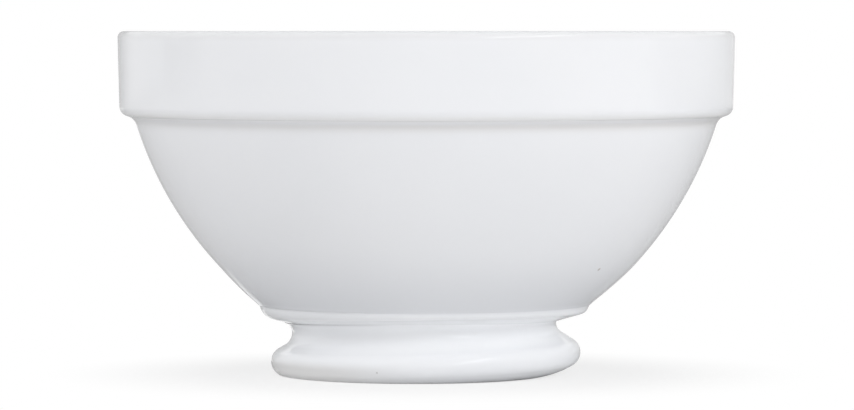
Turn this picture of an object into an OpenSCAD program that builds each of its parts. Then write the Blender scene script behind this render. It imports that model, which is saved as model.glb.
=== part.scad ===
// Footed latte bowl: a straight collar on a round wall, a thin base ring and a turned foot that leans a little.
// Lengths are in millimetres and angles in degrees. The origin is the middle of the standing face, with +Z up.

/* [Bowl] */
// Outside diameter over the lip
rim_d = 132; // [115:1:150]
// Height of the whole bowl
bowl_h = 73.5; // [64:0.5:90]
// Thickness of the round wall
wall_t = 3.4; // [2.6:0.1:4.4]
// Radius of the wall's outside curve
wall_curve_r = 80.2; // [60:0.2:120]
// Outside diameter of the wall where it stands on the base ring
base_d = 71; // [66:0.2:78]
// Width of the level seat on which the wall stands
wall_seat_w = 4.4; // [3:0.1:6]

/* [Rim collar] */
// Height of the collar, from the lip down to the bottom of its edge's circle
collar_h = 18.15; // [14:0.05:24]
// Thickness of the collar
collar_t = 3.2; // [2.6:0.1:4.2]
// Lean of the collar's side, narrower below
collar_draft = 1.4; // [0:0.1:3]
// How far the collar's lower edge stands out from the wall
collar_step = 3; // [2.4:0.1:3.4]
// Radius of the collar's lower edge
collar_edge_r = 2.1; // [1.6:0.1:2.6]
// Radius of the hollow between that edge and the wall
step_fillet_r = 2.9; // [2:0.1:3.4]
// Radius of the lip's outer edge
lip_r = 1.4; // [0.6:0.1:1.5]
// Radius of the lip's inner edge
lip_inner_r = 1; // [0.5:0.1:1.1]
// Height above the collar's joint with the wall at which its inside starts to curve in
shoulder_h = 6.5; // [5:0.1:9]
// Radius of the hollow at the top of the inside shoulder
shoulder_fillet_r = 5; // [3:0.1:6]
// Radius of the rounded edge below it
shoulder_edge_r = 6; // [4:0.1:8]

/* [Bowl floor] */
// Thickness of the floor with its boss
floor_t = 4.2; // [3.4:0.1:6]
// Depth of the boss below the wall's seat
boss_h = 2.5; // [1.5:0.1:3]
// Radius of the curve from the wall to the floor
well_r = 14; // [10:0.5:20]

/* [Base ring] */
// Thickness of the base ring over its flat underside
base_ring_t = 3.85; // [3.6:0.05:5]
// Rise of the underside towards its edge
base_ring_slope = 15.5; // [12:0.5:18]
// Lean of the ring's side, narrower below
base_ring_taper = 17; // [0:1:25]
// Radius of the ring's lower edge
base_ring_edge_r = 2.6; // [1:0.1:3]
// Lean of the ring, higher towards +X
base_ring_lean = 0.8; // [0:0.1:1]

/* [Foot seam] */
// Thickness of the seam in the middle
seam_t = 1.15; // [0.8:0.05:1.6]
// How far the neck's hollow carries on round the seam
seam_sweep = 40; // [30:1:50]

/* [Foot ring] */
// How far the bead lies inside the wall's foot
bead_inset = 2.3; // [0:0.1:5]
// Radius of the bead
bead_r = 3.05; // [2.4:0.05:3.3]
// Height of the bead's widest line
bead_h = 3.75; // [3.5:0.05:5]
// Rise from the bead's widest line to the narrowest line of the neck
neck_rise = 6.25; // [5.9:0.05:9]
// How far the neck at its narrowest lies inside the wall's foot
neck_inset = 7; // [5.5:0.1:9]
// Radius of the neck's hollow
neck_hollow_r = 2.6; // [2:0.05:3]
// Radius of the foot's underside between the bead and the standing face
heel_r = 9.5; // [7:0.5:12]
// How far the recess in the foot lies inside the wall's foot
recess_inset = 11.5; // [10.5:0.1:14]
// Lean of the recess's side, narrower above
recess_draft = 3; // [0:0.5:6]
// Lean of the foot, higher towards +X
foot_lean = 1.9; // [1:0.1:2.4]

/* [Hidden] */

// How far a chord may lie off its arc, and how far a cut runs past what it cuts
arc_tol = 0.01;
overrun = 1;
turn_steps = 180;
white = [0.93, 0.94, 0.95];
foot_white = [0.91, 0.92, 0.94];

// Heights of the joints, from the standing face up
foot_h = bead_h + neck_rise;
ring_z = foot_h + seam_t;
base_z = ring_z + base_ring_t;
roof_z = base_z - boss_h;
floor_z = roof_z + floor_t;
edge_z = bowl_h - collar_h;

// Radii at the joints
rim_r = rim_d / 2;
base_r = base_d / 2;
floor_r = base_r - wall_seat_w;
boss_r = recess_r(ring_z);
foot_r = base_r - bead_inset;
neck_r = base_r - neck_inset;
seam_r = neck_r + neck_hollow_r * (1 - cos(seam_sweep));

// Span of the flat cutting blocks
block_w = rim_d + 2 * overrun;

// Side of the collar outside and inside, and of the recess, at height z; the collar is widest just under its lip
function collar_out(z) = rim_r - (bowl_h - lip_r - z) * tan(collar_draft);
function collar_in(z) = collar_out(z) - collar_t;
function recess_r(z) = base_r - recess_inset - z * tan(recess_draft);

// Point at a distance and an angle from a centre, angle from a to b, and the arc between two angles
function polar(c, r, a) = c + r * [cos(a), sin(a)];
function angle(a, b) = atan2(b[1] - a[1], b[0] - a[0]);
function arc_count(r, sweep) = max(2, ceil(abs(sweep) / (2 * acos(1 - arc_tol / r))));
function arc(c, r, from, to) =
    let (n = arc_count(r, to - from))
    [for (i = [0 : n]) polar(c, r, from + (to - from) * i / n)];

// Centre of the circle of radius r through a and b, on the left of the way from a to b
function arc_centre(a, b, r) =
    let (way = b - a)
    (a + b) / 2 + sqrt(r * r / (way * way) - 1 / 4) * [-way[1], way[0]];

// Point on the right of the way from a to b that is ra from a and rb from b
function circles_meet(a, ra, b, rb) =
    let (way = b - a)
    let (along = (ra * ra - rb * rb + way * way) / (2 * way * way))
    a + along * way + sqrt(ra * ra / (way * way) - along * along) * [way[1], -way[0]];

// Point at height z that is r from c, on the side away from the axis
function beside(c, r, z) = [c[0] + sqrt(r * r - (z - c[1]) * (z - c[1])), z];

// Centre at height z of a round of radius r that touches the collar's side, outside or inside
function side_round(z, r) = [collar_out(z) - r / cos(collar_draft), z];
function side_round_in(z, r) = [collar_in(z) + r / cos(collar_draft), z];

// Point where the lines with the normals p and q lie at the distances dp and dq from the origin
function lines_meet(p, dp, q, dq) = [dp * q[1] - dq * p[1], p[0] * dq - q[0] * dp] / (p[0] * q[1] - p[1] * q[0]);

// Centres of the wall's curve and of the curves that join it to the collar and the floor
wall_c = arc_centre([base_r, base_z], [collar_out(edge_z) - collar_step, edge_z], wall_curve_r);
wall_in_r = wall_curve_r - wall_t;
edge_c = side_round(edge_z + collar_edge_r, collar_edge_r);
step_c = circles_meet(wall_c, wall_curve_r + step_fillet_r, edge_c, step_fillet_r + collar_edge_r);
well_c = beside(wall_c, wall_in_r - well_r, floor_z + well_r);

// The collar and the wall meet at the height where those two curves touch
collar_z = polar(edge_c, collar_edge_r, angle(edge_c, step_c))[1];
shoulder_z = collar_z + shoulder_h;
fillet_c = [collar_in(shoulder_z) - shoulder_fillet_r / cos(collar_draft), shoulder_z];
shoulder_c = circles_meet(wall_c, wall_in_r + shoulder_edge_r, fillet_c, shoulder_fillet_r + shoulder_edge_r);

// Half section of the bowl above the wall's seat: up the outside, over the lip and down the inside
module shell_section() {
    polygon(concat(
        arc(wall_c, wall_curve_r, angle(wall_c, [base_r, base_z]), angle(wall_c, step_c)),
        arc(step_c, step_fillet_r, angle(step_c, wall_c), angle(step_c, edge_c)),
        arc(edge_c, collar_edge_r, angle(edge_c, step_c), -collar_draft),
        arc(side_round(bowl_h - lip_r, lip_r), lip_r, -collar_draft, 90),
        arc(side_round_in(bowl_h - lip_inner_r, lip_inner_r), lip_inner_r, 90, 180 - collar_draft),
        arc(fillet_c, shoulder_fillet_r, -collar_draft, angle(fillet_c, shoulder_c)),
        arc(shoulder_c, shoulder_edge_r, angle(shoulder_c, fillet_c), angle(shoulder_c, wall_c)),
        arc(wall_c, wall_in_r, angle(wall_c, shoulder_c), angle(wall_c, well_c)),
        arc(well_c, well_r, angle(wall_c, well_c), -90),
        [[0, floor_z], [0, base_z]]
    ));
}

// Section of the base ring before its top and its bore are cut; the lower edge touches the side and the underside
module base_ring_section() {
    side_n = [cos(base_ring_taper), -sin(base_ring_taper)];
    under_n = [sin(base_ring_slope), -cos(base_ring_slope)];
    side_d = side_n * [base_r, base_z] - base_ring_edge_r;
    under_d = under_n * [seam_r, ring_z] - base_ring_edge_r;
    ring_edge_c = lines_meet(side_n, side_d, under_n, under_d);
    top_rise = base_r * tan(base_ring_lean) + overrun;
    polygon(concat(
        [[0, ring_z], [seam_r, ring_z]],
        arc(ring_edge_c, base_ring_edge_r, base_ring_slope - 90, -base_ring_taper),
        [[base_r + top_rise * tan(base_ring_taper), base_z + top_rise], [0, base_z + top_rise]]
    ));
}

// Centres of the bead and of the neck's hollow, and the angle of the straight flank that joins them
bead_c = [foot_r - bead_r, bead_h];
hollow_c = [neck_r + neck_hollow_r, foot_h];
flank_a = angle(bead_c, hollow_c) - acos((bead_r + neck_hollow_r) / norm(hollow_c - bead_c));

// Outline of the foot, down to the depth that the leaning ring needs below the standing face
module foot_section() {
    foot_dip = bead_c[0] * tan(foot_lean);
    heel_a = -asin((heel_r - bead_h - foot_dip) / (heel_r - bead_r));
    heel_c = polar(bead_c, bead_r - heel_r, heel_a);
    polygon(concat(
        [[0, -foot_dip]],
        arc(heel_c, heel_r, -90, heel_a),
        arc(bead_c, bead_r, heel_a, flank_a),
        arc(hollow_c, neck_hollow_r, flank_a + 180, 180),
        [[0, foot_h]]
    ));
}

// Outline of the seam, whose hollow carries on from the neck
module seam_section() {
    top_z = ring_z + seam_r * tan(foot_lean) + overrun;
    polygon(concat(
        [[0, foot_h]],
        arc(hollow_c, neck_hollow_r, 180, 180 - seam_sweep),
        [[seam_r, top_z], [0, top_z]]
    ));
}

// Room inside the foot and the seam
module recess_section() {
    low_z = -foot_r;
    high_z = base_z;
    polygon([[0, low_z], [recess_r(low_z), low_z], [recess_r(high_z), high_z], [0, high_z]]);
}

module turned() {
    rotate_extrude($fn = turn_steps)
        children();
}

// Leans a piece about the middle of the standing face, higher towards +X
module leaning(lean) {
    rotate([0, -lean, 0])
        children();
}

// All that lies above height z, or below it
module above(z) {
    translate([-block_w / 2, -block_w / 2, z])
        cube([block_w, block_w, bowl_h]);
}

module below(z) {
    translate([-block_w / 2, -block_w / 2, z - bowl_h])
        cube([block_w, block_w, bowl_h]);
}

module rim_collar() {
    color(white)
        turned()
            intersection() {
                shell_section();
                translate([0, collar_z])
                    square([rim_r + overrun, collar_h + overrun]);
            }
}

module bowl_wall() {
    color(white)
        turned()
            intersection() {
                shell_section();
                translate([floor_r, base_z - overrun])
                    square([rim_r, collar_z - base_z + overrun]);
            }
}

module bowl_floor() {
    color(white)
        turned()
            union() {
                intersection() {
                    shell_section();
                    translate([0, base_z - overrun])
                        square([floor_r, collar_z - base_z]);
                }
                translate([0, roof_z])
                    square([boss_r, boss_h]);
            }
}

module base_ring() {
    color(foot_white)
        difference() {
            leaning(base_ring_lean)
                turned()
                    base_ring_section();
            above(base_z);
            cylinder(r = boss_r, h = base_z + overrun, $fn = turn_steps);
        }
}

module foot_seam() {
    color(foot_white)
        difference() {
            leaning(foot_lean)
                turned()
                    difference() {
                        seam_section();
                        recess_section();
                    }
            leaning(base_ring_lean)
                above(ring_z);
        }
}

module foot_ring() {
    color(foot_white)
        difference() {
            leaning(foot_lean)
                turned()
                    difference() {
                        foot_section();
                        recess_section();
                    }
            below(0);
        }
}

rim_collar();
bowl_wall();
bowl_floor();
base_ring();
foot_seam();
foot_ring();
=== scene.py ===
import math

import bpy
import numpy as np
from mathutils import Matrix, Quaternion, Vector


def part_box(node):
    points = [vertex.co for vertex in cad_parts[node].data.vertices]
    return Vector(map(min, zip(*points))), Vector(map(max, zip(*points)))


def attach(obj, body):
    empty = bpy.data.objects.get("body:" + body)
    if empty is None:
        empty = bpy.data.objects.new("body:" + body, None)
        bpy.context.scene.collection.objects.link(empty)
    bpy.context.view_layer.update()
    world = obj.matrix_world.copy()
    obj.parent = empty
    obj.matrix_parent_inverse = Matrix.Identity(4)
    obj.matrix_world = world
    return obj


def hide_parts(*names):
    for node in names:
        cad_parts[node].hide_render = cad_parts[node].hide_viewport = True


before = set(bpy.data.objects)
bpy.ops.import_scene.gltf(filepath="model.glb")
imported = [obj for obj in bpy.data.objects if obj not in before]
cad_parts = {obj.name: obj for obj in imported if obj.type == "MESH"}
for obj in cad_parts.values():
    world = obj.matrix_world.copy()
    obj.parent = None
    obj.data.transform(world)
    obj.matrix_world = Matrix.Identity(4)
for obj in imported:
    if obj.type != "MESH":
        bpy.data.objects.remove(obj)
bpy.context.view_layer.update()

# heights and radii that the solids already fix, in metres
collarLow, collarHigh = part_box("rim_collar")
wallLow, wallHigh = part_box("bowl_wall")
floorLow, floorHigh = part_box("bowl_floor")
rimRadius = collarHigh.x
rimHeight = collarHigh.z
collarJoint = collarLow.z  # where the collar sits on the wall
seatHeight = wallLow.z  # where the wall stands on the base ring
roofHeight = floorLow.z  # roof of the hollow under the floor
floorRadius = floorHigh.x

# shared grid: turns round the axis, longest steps from a tight curve to a plain stretch, and when an edge
# counts as sharp
grid = dict(columns=320, fine=0.00012, medium=0.00024, coarse=0.0007, wide=0.0014, sharpAngle=35.0,
            sameSpot=1e-7)
fine, medium, coarse, wide = (grid[step] for step in ("fine", "medium", "coarse", "wide"))
turn = np.linspace(0, 2 * np.pi, grid["columns"], endpoint=False)
rightShare = np.cos(turn)  # 1 on the right of the bowl, -1 on the left
leftShare = np.clip(-rightShare, 0, 1)  # 1 on the left, none from the front on
toRight = ((1 + rightShare) / 2)**2  # 1 on the right, a quarter in front, none on the left
frontShare = np.clip(-np.sin(turn), 0, 1)**2  # 1 in front, none from the sides on


# angle of the way from one point to another
def angleTo(a, b):
    return math.degrees(math.atan2(b[1] - a[1], b[0] - a[0]))


# arc: the centre plus the radius turned evenly from one angle to the other, a step at most spacing long
def arcPoints(centre, radius, fromDeg, toDeg, spacing):
    count = 2 + int(abs(math.radians(toDeg - fromDeg)) * radius / spacing)
    sweep = np.radians(np.linspace(fromDeg, toDeg, count))
    return np.column_stack((centre[0] + radius * np.cos(sweep), centre[1] + radius * np.sin(sweep)))


# straight stretch: a share of the way from a to b, a step at most spacing long
def linePoints(a, b, spacing):
    way = np.asarray(b) - np.asarray(a)
    count = 2 + int(np.hypot(*way) / spacing)
    return np.asarray(a) + np.linspace(0, 1, count)[:, None] * way


# one outline out of several stretches, with points that fall together dropped
def joinPoints(*stretches):
    points = np.vstack(stretches)
    steps = np.hypot(*np.diff(points, axis=0).T)
    return points[np.concatenate(([True], steps > grid["sameSpot"]))]


# round grid: radius and height of every row at every turn become (r cos, r sin, z)
def roundGrid(r, z):
    r, z = np.broadcast_arrays(r, z)
    return np.stack((r * np.cos(turn), r * np.sin(turn), z), axis=2)


# surface of revolution: the same outline at every turn
def turned(outline):
    return roundGrid(outline[:, 0:1], np.repeat(outline[:, 1:2], len(turn), axis=1))


# leaning: a turn about the Y axis through the origin, higher towards +X
def leaned(points, degrees):
    c, s = math.cos(math.radians(degrees)), math.sin(math.radians(degrees))
    x, y, z = points[..., 0], points[..., 1], points[..., 2]
    return np.stack((x * c - z * s, y, x * s + z * c), axis=-1)


# smooth step: 0 below 0, 1 above 1, and 3t^2 - 2t^3 between
def smoothStep(t):
    t = np.clip(t, 0, 1)
    return t * t * (3 - 2 * t)


# glaze: reach of the bend that thins it out, the bend that is a joint's corner and not a rounded edge, and
# the radii of collar and foot, where the painted light and shade below take the place of the bend
glazeFlow = dict(reach=0.0012, corner=1400.0, collarFrom=0.055, footFrom=0.026, footTo=0.037)
# painted light and shade, each a line round the bowl where the glaze colour is made paler or darker: its
# height, half width and amount, the lean of the axis along which the height counts, and how much more there
# is on the left; the neck's lies lower there, by its drop
paintedLightParts = dict(
    lip=dict(height=0.0726, width=0.0006, amount=0.25),  # painted shade: a darker line round the lip
    thin=dict(height=0.05555, width=0.00075, amount=0.9),  # painted light on the collar's lower edge
    collarShadow=dict(height=0.0542, width=0.0010, amount=0.6, left=-0.5),  # painted shadow below that edge, less on the left
    seamLight=dict(height=0.0119, width=0.0014, amount=0.9, lean=0.8),  # painted light in the crease of the seam
    neck=dict(height=0.0101, width=0.0013, amount=0.4, lean=0.8, left=0.8, drop=0.0022),  # painted shade in the neck, more on the left
    bead=dict(height=0.0036, width=0.0022, amount=0.15, lean=5.0),  # painted shade low on the bead
    crown=dict(height=0.0074, width=0.0018, amount=0.6, lean=3.6, left=-0.45),  # painted light on top of the bead, less on the left
    heel=dict(height=0.0020, width=0.0018, amount=0.5),  # painted light low on the right
)


# bell curve of one band of painted light and shade: its amount times e to the power of minus the square of
# the distance from its height, counted in half widths
def paintedLightBell(points, name, shift=0):
    part = paintedLightParts[name]
    height = leaned(points, -part.get("lean", 0))[..., 2] + shift
    amount = part["amount"] * (1 + part.get("left", 0) * leftShare)
    return amount * np.exp(-((height - part["height"]) / part["width"])**2)


# glaze build-up and painted shade: the outline's bend per length at each point times the reach, above 0
# where it pools in a hollow and below 0 where it runs thin over an edge; on the collar the painted shade on
# the lip and below the lower edge less the painted light on that edge take its place, and round the foot the
# painted shade in the neck and on the bead less the painted light over the seam, on top of the bead and low
# on the right
def glazeBuildAndShade(points):
    r, z = np.hypot(points[..., 0], points[..., 1]), points[..., 2]
    inR, inZ = r - np.roll(r, 1, axis=0), z - np.roll(z, 1, axis=0)
    outR, outZ = np.roll(inR, -1, axis=0), np.roll(inZ, -1, axis=0)
    angle = np.arctan2(inR * outZ - inZ * outR, inR * outR + inZ * outZ)
    length = (np.hypot(inR, inZ) + np.hypot(outR, outZ)) / 2
    bend = angle / np.maximum(length, grid["sameSpot"])
    runsRound = np.sign(np.sum(r[:, 0] * outZ[:, 0]))  # which way the outline runs round the section
    bend[np.abs(bend) > glazeFlow["corner"]] = 0
    bend[[0, -1]] = 0
    build = np.clip(-bend * runsRound * glazeFlow["reach"], -1, 1)
    onCollar = paintedLightBell(points, "lip") + paintedLightBell(points, "collarShadow") - paintedLightBell(points, "thin")
    onFoot = (paintedLightBell(points, "neck", paintedLightParts["neck"]["drop"] * leftShare) + paintedLightBell(points, "bead")
              - paintedLightBell(points, "seamLight", -ring["frontRise"] * frontShare) - paintedLightBell(points, "crown")
              - paintedLightBell(points, "heel") * toRight**2)
    build = np.where(r > glazeFlow["collarFrom"], onCollar, build)
    return np.where((r > glazeFlow["footFrom"]) & (r < glazeFlow["footTo"]), onFoot, build)


# mesh from a grid of points: quads between neighbouring rows and columns, round the axis; the rows close
# too, or else the first and the last row close on a point in their middle
def gridPiece(name, points, closeRows, node):
    rows, columns = points.shape[:2]
    index = np.arange(rows * columns).reshape(rows, columns)
    lower = index if closeRows else index[:-1]
    upper = np.roll(index, -1, axis=0) if closeRows else index[1:]
    quads = np.stack((lower, np.roll(lower, -1, 1), np.roll(upper, -1, 1), upper), axis=2).reshape(-1, 4)
    verts = points.reshape(-1, 3)
    # glaze build-up with the painted light and shade, handed to the tone as an attribute
    build = glazeBuildAndShade(points).ravel()
    fans = np.zeros((0, 3), dtype=int)
    if not closeRows:
        first, last = len(verts), len(verts) + 1
        verts = np.vstack((verts, points[0].mean(axis=0), points[-1].mean(axis=0)))
        build = np.concatenate((build, (0, 0)))
        begin, end = index[0], index[-1]
        fans = np.vstack((
            np.column_stack((np.roll(begin, -1), begin, np.full(columns, first))),
            np.column_stack((end, np.roll(end, -1), np.full(columns, last))),
        ))
    triangles = np.vstack((quads[:, (0, 1, 2)], quads[:, (0, 2, 3)], fans))
    a, b, c = (verts[triangles[:, k]] for k in range(3))
    if np.sum(a * np.cross(b, c)) < 0:  # turned inside out
        quads, fans = quads[:, ::-1], fans[:, ::-1]
    mesh = bpy.data.meshes.new(name)
    mesh.from_pydata(verts.tolist(), [], quads.tolist() + fans.tolist())
    mesh.polygons.foreach_set("use_smooth", np.ones(len(mesh.polygons), dtype=bool))
    mesh.set_sharp_from_angle(angle=math.radians(grid["sharpAngle"]))
    mesh.attributes.new("glazeBuildAndShade", "FLOAT", "POINT").data.foreach_set("value", build.astype(np.float32))
    mesh.update()
    piece = bpy.data.objects.new(name, mesh)
    bpy.context.scene.collection.objects.link(piece)
    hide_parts(node)
    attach(piece, "root")
    print("piece", name, len(verts), "points")
    return piece


# rim collar: thickness, lean of the side, the two edges of the lip, the lower edge, how far that stands out
# from the wall, and the height
collar = dict(thickness=0.0032, draft=1.4, lip=0.0014, innerLip=0.001, edge=0.0021, step=0.003,
              height=0.01815)
# shoulder inside: its start above the joint, the hollow at its top and the edge below that
shoulder = dict(height=0.0065, hollow=0.005, edge=0.006)
draftRise = math.tan(math.radians(collar["draft"]))
draftLong = 1 / math.cos(math.radians(collar["draft"]))


# the collar's side at a height: the rim's radius less the draft over the way down from the lip
def sideOut(z):
    return rimRadius - (rimHeight - collar["lip"] - z) * draftRise


def sideIn(z):
    return sideOut(z) - collar["thickness"]


# centre of the circle of that radius through a and b, on the left of the way from a to b
def circleThrough(a, b, radius):
    way = b - a
    return (a + b) / 2 + math.sqrt(radius**2 / (way @ way) - 0.25) * np.array((-way[1], way[0]))


# point at a height that lies a distance from a centre, on the side away from the axis
def besideCentre(centre, distance, z):
    return np.array((centre[0] + math.sqrt(distance**2 - (z - centre[1])**2), z))


# point that lies one distance from a and another from b, on the right of the way from a to b
def circlesMeet(a, fromA, b, fromB):
    way = b - a
    along = (fromA**2 - fromB**2 + way @ way) / (2 * way @ way)
    aside = math.sqrt(fromA**2 / (way @ way) - along**2)
    return a + along * way + aside * np.array((way[1], -way[0]))


# wall: its outside curve, the hollow under the collar, how far its foot sagged to the left on the wheel, and
# the glaze in its joint with the base ring, which is drawn in fine steps
wall = dict(curve=0.0802, thickness=0.0034, footRadius=0.0355, stepHollow=0.0029,
            sag=0.00045, sagFrom=0.024, sagDepth=0.009, sagInner=0.0318, sagOuter=0.0348,
            joinOut=0.00013, joinReach=0.0009, joinFine=0.0018)
well = dict(floorHeight=0.0167, curve=0.014, bossRadius=0.023416)

edgeHeight = rimHeight - collar["height"]
wallFoot = np.array((wall["footRadius"], seatHeight))
wallTop = np.array((sideOut(edgeHeight) - collar["step"], edgeHeight))
wallCentre = circleThrough(wallFoot, wallTop, wall["curve"])
innerCurve = wall["curve"] - wall["thickness"]
edgeRise = edgeHeight + collar["edge"]
edgeCentre = np.array((sideOut(edgeRise) - collar["edge"] * draftLong, edgeRise))
stepCentre = circlesMeet(wallCentre, wall["curve"] + wall["stepHollow"],
                         edgeCentre, wall["stepHollow"] + collar["edge"])
wellCentre = besideCentre(wallCentre, innerCurve - well["curve"], well["floorHeight"] + well["curve"])
hollowHeight = collarJoint + shoulder["height"]
hollowCentre = np.array((sideIn(hollowHeight) - shoulder["hollow"] * draftLong, hollowHeight))
shoulderCentre = circlesMeet(wallCentre, innerCurve + shoulder["edge"],
                             hollowCentre, shoulder["hollow"] + shoulder["edge"])
# where the joints cut the inside curves
shoulderSplit = 180 - math.degrees(math.asin((collarJoint - shoulderCentre[1]) / shoulder["edge"]))
wellSplit = -math.degrees(math.acos((floorRadius - wellCentre[0]) / well["curve"]))


# collar: round lower edge, drafted side, lip, inside, and the first part of the inner shoulder
def collarOutline():
    lip, innerLip = collar["lip"], collar["innerLip"]
    lipAt = np.array((sideOut(rimHeight - lip) - lip * draftLong, rimHeight - lip))
    innerAt = np.array((sideIn(rimHeight - innerLip) + innerLip * draftLong, rimHeight - innerLip))
    edgeArc = arcPoints(edgeCentre, collar["edge"], angleTo(edgeCentre, stepCentre), -collar["draft"], fine)
    lipArc = arcPoints(lipAt, lip, -collar["draft"], 90, fine)
    innerArc = arcPoints(innerAt, innerLip, 90, 180 - collar["draft"], fine)
    hollowArc = arcPoints(hollowCentre, shoulder["hollow"], -collar["draft"],
                          angleTo(hollowCentre, shoulderCentre), medium)
    shoulderArc = arcPoints(shoulderCentre, shoulder["edge"], angleTo(shoulderCentre, hollowCentre),
                            shoulderSplit, medium)
    return joinPoints(
        edgeArc, linePoints(edgeArc[-1], lipArc[0], coarse), lipArc, innerArc,
        linePoints(innerArc[-1], hollowArc[0], coarse), hollowArc, shoulderArc,
        linePoints(shoulderArc[-1], edgeArc[0], coarse)[:-1])


# wall: outside curve and the hollow under the collar, the joint, the inside curve down to the floor, the seat
def wallOutline():
    fromFoot, toStep = angleTo(wallCentre, wallFoot), angleTo(wallCentre, stepCentre)
    nearFoot = fromFoot + math.degrees(wall["joinFine"] / wall["curve"])
    outer = joinPoints(arcPoints(wallCentre, wall["curve"], fromFoot, nearFoot, fine),
                       arcPoints(wallCentre, wall["curve"], nearFoot, toStep, coarse))
    hollow = arcPoints(stepCentre, wall["stepHollow"], angleTo(stepCentre, wallCentre),
                       angleTo(stepCentre, edgeCentre), fine)
    shoulderArc = arcPoints(shoulderCentre, shoulder["edge"], shoulderSplit,
                            angleTo(shoulderCentre, wallCentre), medium)
    inner = arcPoints(wallCentre, innerCurve, angleTo(wallCentre, shoulderCentre),
                      angleTo(wallCentre, wellCentre), coarse)
    wellArc = arcPoints(wellCentre, well["curve"], angleTo(wallCentre, wellCentre), wellSplit, medium)
    seat = np.array((floorRadius, seatHeight))
    return joinPoints(
        outer, hollow, linePoints(hollow[-1], shoulderArc[0], coarse), shoulderArc, inner, wellArc,
        linePoints(wellArc[-1], seat, coarse), linePoints(seat, outer[0], coarse)[:-1])


# glaze in the joint of wall and base ring: the radius grows by joinOut times the square of the share of the
# reach that is left
def joinGrowth(z):
    return wall["joinOut"] * np.clip(1 - np.abs(z - seatHeight) / wall["joinReach"], 0, 1)**2


# the wall's foot moves to the left by the sag, smoothly from none at sagFrom to all of it sagDepth lower,
# and from none at the floor's edge to all of it at the outside
def wallPoints():
    outline = wallOutline()
    outside = outline[:, 0] > wall["sagOuter"]
    outline[outside, 0] += joinGrowth(outline[outside, 1])
    points = turned(outline)
    lowShare = smoothStep((wall["sagFrom"] - points[..., 2]) / wall["sagDepth"])
    radius = np.hypot(points[..., 0], points[..., 1])
    outShare = smoothStep((radius - wall["sagInner"]) / (wall["sagOuter"] - wall["sagInner"]))
    points[..., 0] -= wall["sag"] * lowShare * outShare
    return points


# floor: from near the axis out to the wall, down the joint, in along the ledge, down the boss and in again
def floorOutline():
    wellArc = arcPoints(wellCentre, well["curve"], -90, wellSplit, medium)
    corners = np.array((
        (floorRadius, seatHeight), (well["bossRadius"], seatHeight), (well["bossRadius"], roofHeight)))
    return joinPoints(
        linePoints((wide, well["floorHeight"]), wellArc[0], wide), wellArc,
        linePoints(wellArc[-1], corners[0], coarse), linePoints(corners[0], corners[1], coarse),
        linePoints(corners[1], corners[2], coarse), linePoints(corners[2], (wide, roofHeight), wide))


# foot, leaning about the middle of the standing face; the neck's hollow is rounder on the left than on the
# right, where the neck is narrower and the heel of larger radius
foot = dict(lean=1.9, radius=0.0332, bead=0.00305, beadHeight=0.00375, neck=0.0285, neckRight=-0.0003,
            hollow=0.00275, hollowChange=-0.00047, height=0.01, heel=0.0095, heelRight=0.006,
            recess=0.024, recessDraft=3.0,
            hollowRows=34, flankRows=8, beadRows=70, heelRows=46, faceRows=8, recessRows=16)
# base ring; its edge is rounder and its side steeper on the left, crisper and more tapered on the right, and
# in front its underside lies higher
ring = dict(lean=0.8, underHeight=0.01133, frontRise=0.0007, slope=15.4, radius=0.03545, leftMore=0.00015,
            taper=10.65, taperChange=13.7, edge=0.0027, edgeChange=-0.00098, edgeFront=-0.001, neckEnd=0.0289,
            underRows=10, coneRows=14, edgeRows=40, sideRows=24, topRows=16)
# seam between the two, which carries the neck's hollow on
seam = dict(sweep=72.0, outsideRows=24, insideRows=6)

footHollow = foot["hollow"] + foot["hollowChange"] * rightShare
footNeck = foot["neck"] + foot["neckRight"] * toRight
footHeel = foot["heel"] + foot["heelRight"] * toRight
ringUnder = ring["underHeight"] + ring["frontRise"] * frontShare
recessRise = math.tan(math.radians(foot["recessDraft"]))


# rows between two values: even shares of the way from a to b, each a number or one number for each turn
def rowsBetween(a, b, count):
    return a + np.linspace(0, 1, count)[:, None] * (b - a)


# straight stretch at every turn: rows between two places, each a radius and a height
def stretchRows(a, b, count):
    return [rowsBetween(np.broadcast_to(p, turn.shape), q, count) for p, q in zip(a, b)]


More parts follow.
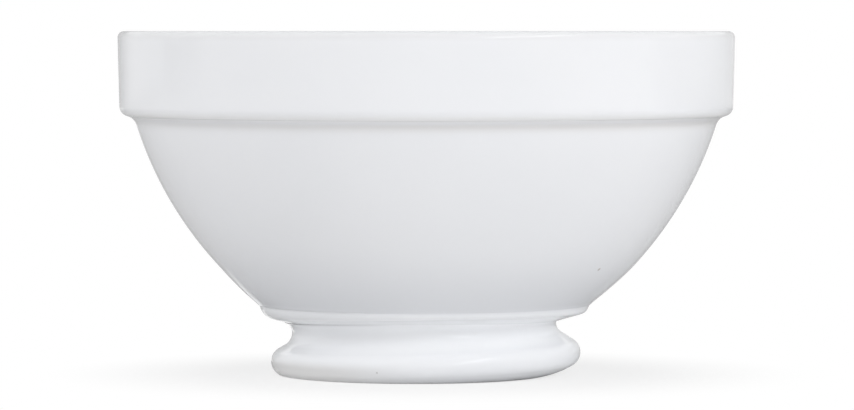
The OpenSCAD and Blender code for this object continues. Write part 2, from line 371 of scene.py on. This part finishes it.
# base ring in its own leaning frame: level underside, rising cone, an edge round that touches the cone and
# the side, tapered side, and the way back in; the centre of the round lies its radius inside both lines, and
# the top is cut level
def ringPoints():
    slope = math.radians(ring["slope"])
    taper = np.radians(np.maximum(ring["taper"] + ring["taperChange"] * rightShare, 0))
    edge = ring["edge"] + ring["edgeChange"] * rightShare + ring["edgeFront"] * frontShare
    radius = ring["radius"] + ring["leftMore"] * ((1 - rightShare) / 2)**2
    neckEnd, under, bore = ring["neckEnd"], ringUnder, well["bossRadius"]
    sideReach = radius * np.cos(taper) - seatHeight * np.sin(taper) - edge
    coneReach = neckEnd * math.sin(slope) - under * math.cos(slope) - edge
    split = -np.cos(taper) * math.cos(slope) + np.sin(taper) * math.sin(slope)
    centreR = (-sideReach * math.cos(slope) + coneReach * np.sin(taper)) / split
    centreZ = (np.cos(taper) * coneReach - math.sin(slope) * sideReach) / split
    sweep = rowsBetween(slope - np.pi / 2, -taper, ring["edgeRows"])
    edgeR, edgeZ = centreR + edge * np.cos(sweep), centreZ + edge * np.sin(sweep)
    topZ = seatHeight + wall["footRadius"] * math.tan(math.radians(ring["lean"]))
    topR = radius + (topZ - seatHeight) * np.tan(taper)
    cone = stretchRows((neckEnd, under), (edgeR[0], edgeZ[0]), ring["coneRows"])
    side = stretchRows((edgeR[-1], edgeZ[-1]), (topR, topZ), ring["sideRows"])
    back = stretchRows((topR, topZ), (bore, topZ), ring["topRows"])
    stretches = (
        stretchRows((bore, under), (neckEnd, under), ring["underRows"]), [rows[1:-1] for rows in cone],
        (edgeR, edgeZ), [rows[1:] for rows in side], [rows[1:] for rows in back])
    r, z = (np.vstack([rows[k] for rows in stretches]) for k in range(2))
    points = leaned(roundGrid(r, z), ring["lean"])
    points[..., 2] = np.minimum(points[..., 2], seatHeight)
    # the side draws over to the wall's foot as the square of the way up, so that the two meet on one line
    top = len(r) - ring["topRows"]
    sideRows = np.arange(top - ring["sideRows"] + 1, top + 1)
    outward = np.column_stack((np.cos(turn), np.sin(turn)))
    wallRow = wall["footRadius"] * outward - (wall["sag"], 0)
    upShare = np.linspace(0, 1, ring["sideRows"])[:, None, None]
    points[sideRows, :, :2] += upShare**2 * (wallRow - points[top, :, :2])
    points[sideRows, :, :2] += joinGrowth(points[sideRows, :, 2])[..., None] * outward
    return points


# foot in its own leaning frame: hollow neck, straight flank, bead, heel of larger radius as far as the
# standing face, the face, and the recess up inside; at each turn the heel ends where its circle meets the
# level face
def footPoints():
    beadR, beadZ, bead = foot["radius"] - foot["bead"], foot["beadHeight"], foot["bead"]
    hollowR, hollowZ = footNeck + footHollow, foot["height"]
    apart = np.hypot(hollowR - beadR, hollowZ - beadZ)
    flank = np.arctan2(hollowZ - beadZ, hollowR - beadR) - np.arccos((bead + footHollow) / apart)
    leanRise = math.tan(math.radians(foot["lean"]))
    heel, dip = footHeel, beadR * leanRise
    heelStart = -np.arcsin((heel - beadZ - dip) / (heel - bead))
    heelR = beadR + (bead - heel) * np.cos(heelStart)
    heelZ = beadZ + (bead - heel) * np.sin(heelStart)
    rise = leanRise * rightShare  # the standing face falls by this much per radius in the foot's frame
    heelEnd = -np.arcsin((heelZ + rise * heelR) / (heel * np.sqrt(1 + rise**2))) - np.arctan(rise)
    hollowSweep = rowsBetween(np.pi, flank + np.pi, foot["hollowRows"])
    beadSweep = rowsBetween(flank, heelStart, foot["beadRows"])
    heelSweep = rowsBetween(heelStart, heelEnd, foot["heelRows"])[1:]
    neckR, neckZ = hollowR + footHollow * np.cos(hollowSweep), hollowZ + footHollow * np.sin(hollowSweep)
    roundR, roundZ = beadR + bead * np.cos(beadSweep), beadZ + bead * np.sin(beadSweep)
    lowR, lowZ = heelR + heel * np.cos(heelSweep), heelZ + heel * np.sin(heelSweep)
    flankR = rowsBetween(neckR[-1], roundR[0], foot["flankRows"])[1:-1]
    flankZ = rowsBetween(neckZ[-1], roundZ[0], foot["flankRows"])[1:-1]
    # height where the recess meets the standing face
    recessFoot = -foot["recess"] * rise / (1 - rise * recessRise)
    insideZ = rowsBetween(recessFoot, foot["height"], foot["recessRows"])
    insideR = foot["recess"] - insideZ * recessRise
    faceR = rowsBetween(lowR[-1], insideR[0], foot["faceRows"])[1:-1]
    faceZ = rowsBetween(lowZ[-1], insideZ[0], foot["faceRows"])[1:-1]
    r = np.vstack((neckR, flankR, roundR, lowR, faceR, insideR))
    z = np.vstack((neckZ, flankZ, roundZ, lowZ, faceZ, insideZ))
    points = leaned(roundGrid(r, z), foot["lean"])
    points[..., 2] = np.maximum(points[..., 2], 0)
    return points


# seam: from the upright neck a round, smaller where the seam is thin, bends out to the base ring's leaning
# underside or to the cone beyond it, with the recess inside; its radius is the rise there over the sine of
# the sweep
def seamPoints():
    leanLeft = math.tan(math.radians(foot["lean"] - ring["lean"]))
    thickness = ringUnder - footNeck * rightShare * leanLeft - foot["height"]
    bend, cone = math.radians(seam["sweep"]), math.tan(math.radians(ring["slope"]))
    spread = 1 - math.cos(bend)
    levelRound = thickness / math.sin(bend)
    coneRound = (thickness - (ring["neckEnd"] - footNeck) * cone) / (math.sin(bend) - spread * cone)
    reachesCone = footNeck + levelRound * spread > ring["neckEnd"]
    seamRound = np.where(reachesCone, coneRound, levelRound)
    sweep = np.linspace(0, bend, seam["outsideRows"])[:, None]
    outside = roundGrid(footNeck + seamRound * (1 - np.cos(sweep)),
                        foot["height"] + seamRound * np.sin(sweep))
    insideR = foot["recess"] - foot["height"] * recessRise
    insideTop = ringUnder - insideR * rightShare * leanLeft
    inside = roundGrid(insideR, rowsBetween(insideTop, foot["height"], seam["insideRows"]))
    return leaned(np.concatenate((outside, inside), axis=0), foot["lean"])


rimCollar = gridPiece("rim_collar_glazed", turned(collarOutline()), True, "rim_collar")
bowlWall = gridPiece("bowl_wall_glazed", wallPoints(), True, "bowl_wall")
bowlFloor = gridPiece("bowl_floor_glazed", turned(floorOutline()), False, "bowl_floor")
baseRing = gridPiece("base_ring_glazed", ringPoints(), True, "base_ring")
footSeam = gridPiece("foot_seam_glazed", seamPoints(), True, "foot_seam")
footRing = gridPiece("foot_ring_glazed", footPoints(), True, "foot_ring")


# a socket is linked to an input, any other value is set on it
def feed(tree, socket, value):
    if isinstance(value, bpy.types.NodeSocket):
        tree.links.new(value, socket)
    else:
        socket.default_value = value


# node in a tree: settings are the node's own choices, inputs are values or sockets by the input's name
def addNode(tree, kind, settings=None, **inputs):
    node = tree.nodes.new("ShaderNode" + kind)
    for key, value in (settings or {}).items():
        setattr(node, key, value)
    for key, value in inputs.items():
        feed(tree, node.inputs[key.replace("_", " ")], value)
    return node


# outputs of a node whose inputs are values or sockets in their order
def orderedNode(tree, kind, settings, *values):
    node = addNode(tree, kind, settings)
    for socket, value in zip(node.inputs, values):
        feed(tree, socket, value)
    return node.outputs


# sum, product or the like of two values or sockets
def calc(tree, operation, a, b):
    return orderedNode(tree, "Math", {"operation": operation}, a, b)[0]


# distance from one place to another, each a value or a socket
def distanceTo(tree, a, b):
    return orderedNode(tree, "VectorMath", {"operation": "DISTANCE"}, a, b)["Value"]


# smooth share: the least at the first end of a range, 1 at the other
def fadeShare(tree, value, ends, least=0.0):
    return addNode(tree, "MapRange", {"interpolation_type": "SMOOTHSTEP"}, Value=value,
                   From_Min=ends[0], From_Max=ends[1], To_Min=least).outputs[0]


# colour between a and b by a share
def blendColour(tree, share, a, b):
    return orderedNode(tree, "MixRGB", None, share, a, b)[0]


# shader between a and b by a share
def blendShader(tree, share, a, b):
    return orderedNode(tree, "MixShader", None, share, a, b)[0]


# new node group with named inputs and outputs; a socket is its name, its kind and its start value
def newGroup(name, inputs, outputs):
    group = bpy.data.node_groups.new(name, "ShaderNodeTree")
    for label, kind, value in inputs:
        socket = group.interface.new_socket(label, in_out="INPUT", socket_type="NodeSocket" + kind)
        socket.default_value = value
    for label, kind in outputs:
        group.interface.new_socket(label, in_out="OUTPUT", socket_type="NodeSocket" + kind)
    return group, group.nodes.new("NodeGroupInput").outputs, group.nodes.new("NodeGroupOutput").inputs


# glaze tone: the noise of its clouds, between which noise levels one white fades to the other, and the
# build-up at which the darker colour for pooled glaze and painted shade and the paler colour for thin glaze
# and painted light are all there
toneLook = dict(clouds=dict(Detail=3.0, Roughness=0.55), cloudFade=(0.35, 0.65), pooledAndShadedAt=0.6, thinAt=-0.9,
                startColour=(0.8, 0.8, 0.8, 1), startScale=30.0)


# glaze colour: a slow cloudy drift between two whites, a little more colour where the glaze pools and darker
# where shade is painted, and the body showing through where it runs thin and paler where light is painted
def makeGlazeTone():
    colours = [(label, "Color", toneLook["startColour"]) for label in ("Colour", "Cloud", "Pooled", "Thin")]
    group, given, out = newGroup(
        "glazeTone", (*colours, ("Cloud Scale", "Float", toneLook["startScale"])), (("Colour", "Color"),))
    place = addNode(group, "TexCoord").outputs["Object"]
    cloud = addNode(group, "TexNoise", Vector=place, Scale=given["Cloud Scale"], **toneLook["clouds"])
    spread = fadeShare(group, cloud.outputs[0], toneLook["cloudFade"])
    build = addNode(group, "Attribute", {"attribute_name": "glazeBuildAndShade"}).outputs["Fac"]
    pooledAndShaded = addNode(group, "MapRange", Value=build, From_Max=toneLook["pooledAndShadedAt"]).outputs[0]
    thin = addNode(group, "MapRange", Value=build, From_Max=toneLook["thinAt"]).outputs[0]
    base = blendColour(group, spread, given["Colour"], given["Cloud"])
    base = blendColour(group, pooledAndShaded, base, given["Pooled"])
    base = blendColour(group, thin, base, given["Thin"])
    group.links.new(base, out["Colour"])
    return group


# iron specks: cells per metre, the share of cells without one, their size in cells and the smallest share of
# it, and how sharply they end
speckLook = dict(cells=120.0, rarity=0.97, size=0.03, smallest=0.4, sharpness=2.0, startDotSize=0.0002)


# iron specks: sparse dots at the middles of a few cells, and one dot at a given place; a dot is 1 less the
# distance over its size
def makeGlazeSpecks():
    group, given, out = newGroup(
        "glazeSpecks",
        (("Cells", "Float", speckLook["cells"]), ("Rarity", "Float", speckLook["rarity"]),
         ("Size", "Float", speckLook["size"]), ("Dot", "Vector", (0.0, 0.0, 0.0)),
         ("Dot Size", "Float", speckLook["startDotSize"])),
        (("Mask", "Float"),))
    place = addNode(group, "TexCoord").outputs["Object"]
    cells = addNode(group, "TexVoronoi", Vector=place, Scale=given["Cells"])
    lot = addNode(group, "SeparateColor", Color=cells.outputs["Color"])
    chosen = calc(group, "GREATER_THAN", lot.outputs["Red"], given["Rarity"])
    share = calc(group, "ADD", lot.outputs["Green"], speckLook["smallest"])
    size = calc(group, "MULTIPLY", given["Size"], share)
    near = calc(group, "SUBTRACT", 1.0, calc(group, "DIVIDE", cells.outputs["Distance"], size))
    spread = calc(group, "MULTIPLY", chosen, calc(group, "MAXIMUM", near, 0.0))
    away = distanceTo(group, place, given["Dot"])
    dot = calc(group, "SUBTRACT", 1.0, calc(group, "DIVIDE", away, given["Dot Size"]))
    mask = calc(group, "MAXIMUM", spread, calc(group, "MAXIMUM", dot, 0.0))
    mask = calc(group, "MINIMUM", calc(group, "MULTIPLY", mask, speckLook["sharpness"]), 1.0)
    group.links.new(mask, out["Mask"])
    return group


# glaze skin: the noises of its waves, fine skin, turning lines and patches of gloss, how the lines are drawn
# out level, and between which noise levels the gloss drifts
skinLook = dict(
    waves=dict(Scale=55.0, Detail=1.0, Roughness=0.4), skin=dict(Scale=1400.0, Detail=2.0, Roughness=0.5),
    lines=dict(Scale=1.0, Detail=2.0, Roughness=0.6), patches=dict(Scale=70.0, Detail=4.0, Roughness=0.6),
    lineStretch=(18.0, 18.0, 950.0), patchFade=(0.3, 0.7))


# glaze surface: long slow waves, a fine skin, and turning lines that run level round the axis;
# Height is for a bump, Gloss is the drift of the roughness
def makeGlazeSkin():
    group, given, out = newGroup(
        "glazeSkin",
        (("Waves", "Float", 1.0), ("Skin", "Float", 0.05), ("Lines", "Float", 0.2),
         ("Gloss Low", "Float", 0.08), ("Gloss High", "Float", 0.14)),
        (("Height", "Float"), ("Gloss", "Float")))
    place = addNode(group, "TexCoord").outputs["Object"]
    waves = addNode(group, "TexNoise", Vector=place, **skinLook["waves"])
    skin = addNode(group, "TexNoise", Vector=place, **skinLook["skin"])
    level = addNode(group, "Mapping", Vector=place, Scale=skinLook["lineStretch"])
    lines = addNode(group, "TexNoise", Vector=level.outputs[0], **skinLook["lines"])
    height = calc(group, "MULTIPLY", waves.outputs[0], given["Waves"])
    height = calc(group, "ADD", height, calc(group, "MULTIPLY", skin.outputs[0], given["Skin"]))
    height = calc(group, "ADD", height, calc(group, "MULTIPLY", lines.outputs[0], given["Lines"]))
    patches = addNode(group, "TexNoise", Vector=place, **skinLook["patches"])
    patchLow, patchHigh = skinLook["patchFade"]
    gloss = addNode(group, "MapRange", Value=patches.outputs[0], From_Min=patchLow, From_Max=patchHigh,
                    To_Min=given["Gloss Low"], To_Max=given["Gloss High"])
    group.links.new(height, out["Height"])
    group.links.new(gloss.outputs[0], out["Gloss"])
    return group


glazeTone, glazeSpecks, glazeSkin = makeGlazeTone(), makeGlazeSpecks(), makeGlazeSkin()
print("glaze groups made")

# the two finishes: colours of the glaze, the darker and paler ones also for painted shade and light, the
# colour of painted shade low on the wall and at the top of the base ring and the heights over which it fades
# in, its specks, its surface, its bump in metres, and the heights between which it is wiped off above the
# standing face
whiteGlaze = dict(colour=(0.880, 0.888, 0.911, 1), cloud=(0.868, 0.878, 0.903, 1),
                  pooledAndShaded=(0.785, 0.780, 0.786, 1), thin=(0.965, 0.966, 0.973, 1),
                  lowShade=(0.795, 0.808, 0.838, 1), lowShadeFade=(0.030, 0.0145), cloudScale=26.0,
                  speckColour=(0.58, 0.55, 0.53, 1), dot=(0.03609, -0.02661, 0.02373), dotSize=0.0005,
                  waves=1.0, skin=0.02, lines=0.04, glossLow=0.05, glossHigh=0.09, bump=0.00005,
                  bareFade=None)
footGlaze = dict(colour=(0.876, 0.886, 0.908, 1), cloud=(0.862, 0.875, 0.901, 1),
                 pooledAndShaded=(0.796, 0.806, 0.828, 1), thin=(0.964, 0.974, 0.990, 1),
                 lowShade=(0.795, 0.808, 0.838, 1), lowShadeFade=(0.0143, 0.0154), cloudScale=38.0,
                 speckColour=(0.36, 0.34, 0.34, 1), dot=(-0.0102, -0.0312, 0.0025), dotSize=0.00036,
                 waves=0.8, skin=0.02, lines=0.08, glossLow=0.05, glossHigh=0.09, bump=0.00006,
                 bareFade=(0.00025, 0.0000625))
# clay that shows where the glaze is wiped off on the standing face, and its colours used as painted shade
# low on the left of the bead, darker higher up: fades over x and the height
clayAndLeftShade = dict(colour=(0.770, 0.768, 0.768, 1), lowColour=(0.860, 0.857, 0.856, 1),
                lowFade=(0.0026, 0.0010), roughness=0.5, leftFade=(-0.002, -0.024),
                leftHeight=(0.0046, 0.0024))


# material of a finish: tone and specks make the colour, the skin makes the bump and the gloss; painted shade
# darkens the wall towards its foot and the base ring at its top, painted shade in the clay's colours darkens
# the foot low on the left, and on the standing face the glaze is wiped off and the clay shows, matt
def glazeMaterial(name, look):
    material = bpy.data.materials.new(name)
    material.use_nodes = True
    tree = material.node_tree
    shader = tree.nodes["Principled BSDF"]
    tone = addNode(tree, "Group", {"node_tree": glazeTone}, Colour=look["colour"], Cloud=look["cloud"],
                   Pooled=look["pooledAndShaded"], Thin=look["thin"], Cloud_Scale=look["cloudScale"])
    specks = addNode(tree, "Group", {"node_tree": glazeSpecks}, Dot=look["dot"], Dot_Size=look["dotSize"])
    skin = addNode(tree, "Group", {"node_tree": glazeSkin}, Waves=look["waves"], Skin=look["skin"],
                   Lines=look["lines"], Gloss_Low=look["glossLow"], Gloss_High=look["glossHigh"])
    colour, gloss = tone.outputs["Colour"], skin.outputs["Gloss"]
    place = addNode(tree, "TexCoord").outputs["Object"]
    axes = addNode(tree, "SeparateXYZ", Vector=place).outputs
    # painted shade: darker towards the wall's foot and at the top of the base ring
    lowShade = fadeShare(tree, axes["Z"], look["lowShadeFade"])
    colour = blendColour(tree, lowShade, colour, look["lowShade"])
    if look["bareFade"]:
        # painted shade low on the left of the foot in the clay's colours; the standing face is bare clay
        left = calc(tree, "MULTIPLY", fadeShare(tree, axes["X"], clayAndLeftShade["leftFade"]),
                    fadeShare(tree, axes["Z"], clayAndLeftShade["leftHeight"]))
        face = fadeShare(tree, axes["Z"], look["bareFade"])
        bareAndShaded = calc(tree, "MAXIMUM", left, face)
        clayAndShadeColour = blendColour(tree, fadeShare(tree, axes["Z"], clayAndLeftShade["lowFade"]),
                           clayAndLeftShade["colour"], clayAndLeftShade["lowColour"])
        colour = blendColour(tree, bareAndShaded, colour, clayAndShadeColour)
        gloss = calc(tree, "ADD", gloss, calc(tree, "MULTIPLY", face, clayAndLeftShade["roughness"]))
    colour = blendColour(tree, specks.outputs["Mask"], colour, look["speckColour"])
    bump = addNode(tree, "Bump", Height=skin.outputs["Height"], Distance=look["bump"])
    tree.links.new(colour, shader.inputs["Base Color"])
    tree.links.new(gloss, shader.inputs["Roughness"])
    tree.links.new(bump.outputs["Normal"], shader.inputs["Normal"])
    print("material", name)
    return material


bodyMaterial = glazeMaterial("white_glaze", whiteGlaze)
footMaterial = glazeMaterial("foot_glaze", footGlaze)
for piece in (rimCollar, bowlWall, bowlFloor):
    piece.data.materials.append(bodyMaterial)
for piece in (baseRing, footSeam, footRing):
    piece.data.materials.append(footMaterial)

# floor: pale and diffuse; it fades to plain white away from the bowl, for the camera sooner than for
# reflections, which show it dimmer behind the bowl, from nearer on towards the right, with a white spot
# behind on the left
floorLook = dict(size=12.0, drop=0.00002, bounce=(0.8, 0.8, 0.8, 1), seenFade=(0.034, 0.085), nearShare=0.75,
                 glossFade=(0.25, 1.2), spot=(-0.038, 0.070, 0.0), spotFade=(0.034, 0.014),
                 dimGlow=0.46, dimBehind=(0.0, 0.08), dimAway=(0.065, 0.10), dimRight=(-0.25, 0.07),
                 dimFar=(0.6, 1.0), dimFarRight=(-0.7, -0.35), leftWhite=0.5)


# level square about the origin, half its size each way, a hair below the standing face
def makeFloor():
    half, level = floorLook["size"] / 2, -floorLook["drop"]
    mesh = bpy.data.meshes.new("floor")
    corners = [(-half, -half, level), (half, -half, level), (half, half, level), (-half, half, level)]
    mesh.from_pydata(corners, [], [(0, 1, 2, 3)])
    floor = bpy.data.objects.new("floor", mesh)
    bpy.context.scene.collection.objects.link(floor)
    material = bpy.data.materials.new("pale_floor")
    material.use_nodes = True
    tree = material.node_tree
    tree.nodes.clear()
    out = addNode(tree, "OutputMaterial")
    diffuse = addNode(tree, "BsdfDiffuse", Color=floorLook["bounce"])
    white = addNode(tree, "Emission", Strength=1.0)
    place = addNode(tree, "TexCoord").outputs["Object"]
    away = distanceTo(tree, place, (0, 0, 0))
    seenFade = fadeShare(tree, away, floorLook["seenFade"], floorLook["nearShare"])
    axes = addNode(tree, "SeparateXYZ", Vector=place).outputs
    behind = fadeShare(tree, axes["Y"], floorLook["dimBehind"])
    onRight = fadeShare(tree, axes["X"], floorLook["dimRight"])
    whiteLost = addNode(tree, "MapRange", Value=onRight, To_Min=floorLook["leftWhite"]).outputs[0]
    whiteKept = calc(tree, "SUBTRACT", 1.0, calc(tree, "MULTIPLY", behind, whiteLost))
    spot = fadeShare(tree, distanceTo(tree, place, floorLook["spot"]), floorLook["spotFade"])
    glossFade = calc(tree, "MAXIMUM", spot,
                     calc(tree, "MULTIPLY", fadeShare(tree, away, floorLook["glossFade"]), whiteKept))
    path = addNode(tree, "LightPath").outputs
    mirrored = calc(tree, "MAXIMUM", path["Is Glossy Ray"], path["Is Transmission Ray"])
    seen = calc(tree, "MAXIMUM", calc(tree, "MULTIPLY", path["Is Camera Ray"], seenFade),
                calc(tree, "MULTIPLY", mirrored, glossFade))
    dimNear = calc(tree, "MULTIPLY", fadeShare(tree, away, floorLook["dimAway"]), onRight)
    dimFar = calc(tree, "MULTIPLY", fadeShare(tree, away, floorLook["dimFar"]),
                  fadeShare(tree, axes["X"], floorLook["dimFarRight"]))
    dimShare = calc(tree, "MULTIPLY", behind, calc(tree, "MAXIMUM", dimNear, dimFar))
    dim = addNode(tree, "Emission", Strength=floorLook["dimGlow"])
    near = blendShader(tree, calc(tree, "MULTIPLY", mirrored, dimShare), diffuse.outputs[0], dim.outputs[0])
    tree.links.new(blendShader(tree, seen, near, white.outputs[0]), out.inputs["Surface"])
    mesh.materials.append(material)


makeFloor()

# backdrop: a paper bent round behind the bowl, dim so that the white edges show on the white ground, less so
# on the right and not on the far left
backdropLook = dict(radius=1.9, height=0.5, sweep=(22.0, 158.0), columns=49,
                    glow=0.54, rightGlow=0.70, leftGlow=1.0, rightFade=(0.0, 0.3), leftFade=(-0.75, -1.4))


# part of an upright cylinder: radius times cosine and sine of an even sweep, at the floor and at the top
def makeBackdrop():
    columns = backdropLook["columns"]
    sweep = np.radians(np.linspace(*backdropLook["sweep"], columns))
    x, y = backdropLook["radius"] * np.cos(sweep), backdropLook["radius"] * np.sin(sweep)
    low = np.column_stack((x, y, np.zeros(columns)))
    high = np.column_stack((x, y, np.full(columns, backdropLook["height"])))
    index = np.arange(columns - 1)
    quads = np.column_stack((index + 1, index, index + columns, index + columns + 1))
    mesh = bpy.data.meshes.new("backdrop")
    mesh.from_pydata(np.vstack((low, high)).tolist(), [], quads.tolist())
    backdrop = bpy.data.objects.new("backdrop", mesh)
    backdrop.visible_camera = False
    bpy.context.scene.collection.objects.link(backdrop)
    material = bpy.data.materials.new("dim_paper")
    material.use_nodes = True
    tree = material.node_tree
    tree.nodes.clear()
    sideways = addNode(tree, "SeparateXYZ", Vector=addNode(tree, "TexCoord").outputs["Object"]).outputs["X"]
    level = addNode(tree, "MapRange", Value=fadeShare(tree, sideways, backdropLook["rightFade"]),
                    To_Min=backdropLook["glow"], To_Max=backdropLook["rightGlow"])
    level = addNode(tree, "MapRange", Value=fadeShare(tree, sideways, backdropLook["leftFade"]),
                    To_Min=level.outputs[0], To_Max=backdropLook["leftGlow"])
    glow = addNode(tree, "Emission", Strength=level.outputs[0])
    tree.links.new(glow.outputs[0], addNode(tree, "OutputMaterial").inputs["Surface"])
    mesh.materials.append(material)


makeBackdrop()
print("floor and backdrop staged")

# studio: soft lamps round the bowl; angles are in degrees, azimuth counts from the camera to the right, the
# rest is in metres and watts; only the key shows in the glaze, the others fill without a highlight
studio = dict(ambient=0.0, aim=(0, 0, 0.04), distance=1.6)
lamps = {
    "key": dict(azimuth=38, elevation=24, width=1.25, height=0.2, power=4.0, mirrored=True, roll=40),
    "frontLow": dict(azimuth=0, elevation=3, width=1.2, height=0.16, power=4.3),
    "front": dict(azimuth=0, elevation=34, width=1.2, height=0.7, power=3.2),
    "leftLow": dict(azimuth=-60, elevation=14, width=1.2, height=0.4, power=4.2),
    "left": dict(azimuth=-60, elevation=34, width=1.2, height=0.7, power=4.4),
    "rightLow": dict(azimuth=60, elevation=3, width=1.2, height=0.16, power=5.7),
    "right": dict(azimuth=60, elevation=34, width=1.2, height=0.7, power=2.6),
    "farLeft": dict(azimuth=-105, elevation=20, width=0.8, height=0.7, power=5.2),
    "farRight": dict(azimuth=105, elevation=20, width=0.8, height=0.7, power=5.2),
    "top": dict(azimuth=0, elevation=88, width=1.2, height=1.2, power=7.0),
}


# lamp on a sphere round the aim: the distance times the cosine of the elevation goes sideways by the sine of
# the azimuth and to the front by its cosine, the distance times the sine of the elevation goes up
def makeLamp(name, azimuth, elevation, width, height, power, mirrored=False, roll=0):
    light = bpy.data.lights.new(name, "AREA")
    light.shape = "RECTANGLE"
    light.size, light.size_y = width, height
    light.energy = power
    side, rise = math.radians(azimuth), math.radians(elevation)
    aim = Vector(studio["aim"])
    lamp = bpy.data.objects.new(name, light)
    lamp.location = aim + studio["distance"] * Vector((
        math.sin(side) * math.cos(rise), -math.cos(side) * math.cos(rise), math.sin(rise)))
    facing = (aim - lamp.location).to_track_quat("-Z", "Y")
    lamp.rotation_euler = (facing @ Quaternion((0, 0, 1), math.radians(roll))).to_euler()
    lamp.visible_camera = False
    lamp.visible_glossy = mirrored
    bpy.context.scene.collection.objects.link(lamp)


for lampName, lampSet in lamps.items():
    makeLamp(lampName, **lampSet)
print("studio has", len(lamps), "lamps")


# world: white to the camera and to reflections; ambient is its strength as light from all round
def makeWorld():
    world = bpy.data.worlds.new("studio")
    bpy.context.scene.world = world
    world.use_nodes = True
    tree = world.node_tree
    back = tree.nodes["Background"]
    back.inputs["Color"].default_value = (1, 1, 1, 1)
    path = addNode(tree, "LightPath").outputs
    seen = calc(tree, "MAXIMUM", path["Is Camera Ray"], calc(tree, "MAXIMUM", path["Is Glossy Ray"],
                                                            path["Is Transmission Ray"]))
    strength = addNode(tree, "MapRange", Value=seen, To_Min=studio["ambient"])
    tree.links.new(strength.outputs[0], back.inputs["Strength"])


makeWorld()

# camera: level with the rim about a metre in front, tipped down so that the bowl fills the frame
view = dict(distance=1.02, height=0.07376, lens=200.64, sensor=36.0, tip=2.107, aside=0.00015, nearest=0.01)


def makeCamera():
    data = bpy.data.cameras.new("camera")
    data.lens = view["lens"]
    data.sensor_width = view["sensor"]
    data.clip_start = view["nearest"]
    camera = bpy.data.objects.new("camera", data)
    camera.location = (view["aside"], -view["distance"], view["height"])
    camera.rotation_euler = (math.radians(90 - view["tip"]), 0, 0)
    bpy.context.scene.collection.objects.link(camera)
    bpy.context.scene.camera = camera


makeCamera()
print("camera set")
bpy.context.scene.view_settings.view_transform = "Standard"

bpy.context.view_layer.update()
